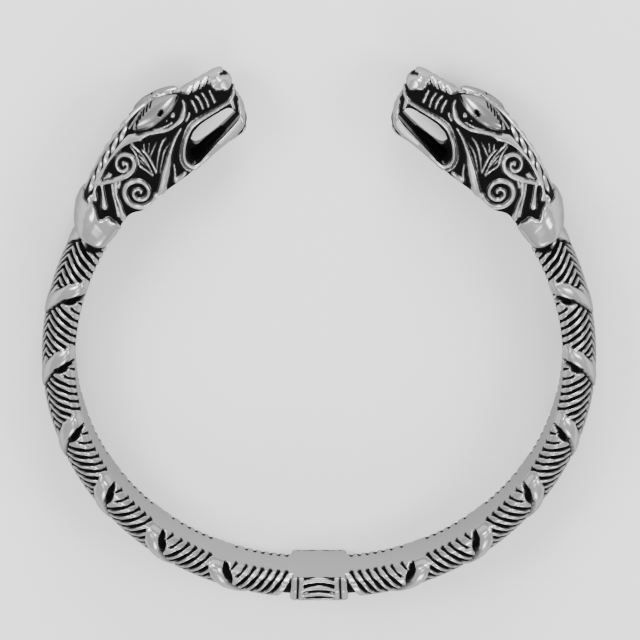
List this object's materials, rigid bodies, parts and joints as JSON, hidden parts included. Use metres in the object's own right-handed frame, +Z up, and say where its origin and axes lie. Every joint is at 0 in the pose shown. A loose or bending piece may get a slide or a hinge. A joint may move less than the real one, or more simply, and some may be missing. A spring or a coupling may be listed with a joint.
{
  "type": "viking arm ring",
  "caption": "Open metal cuff with a ribbed D-section band, a plain block at its back and facing animal heads with open mouths.",
  "frame": {"origin": "middle of the ring's outline, on the surface the ring lies on", "axes": "+X from the left head to the right head, +Y from the block at the back to the open side, +Z up, square to the ring's plane"},
  "size_m": [0.0734, 0.076, 0.0114],
  "materials": {
    "metal": "polished raised surfaces, black oxidised recesses, satin inner face"
  },
  "bodies": {
    "root": {"band": "metal", "head_left": "metal", "head_right": "metal"}
  },
  "joints": []
}
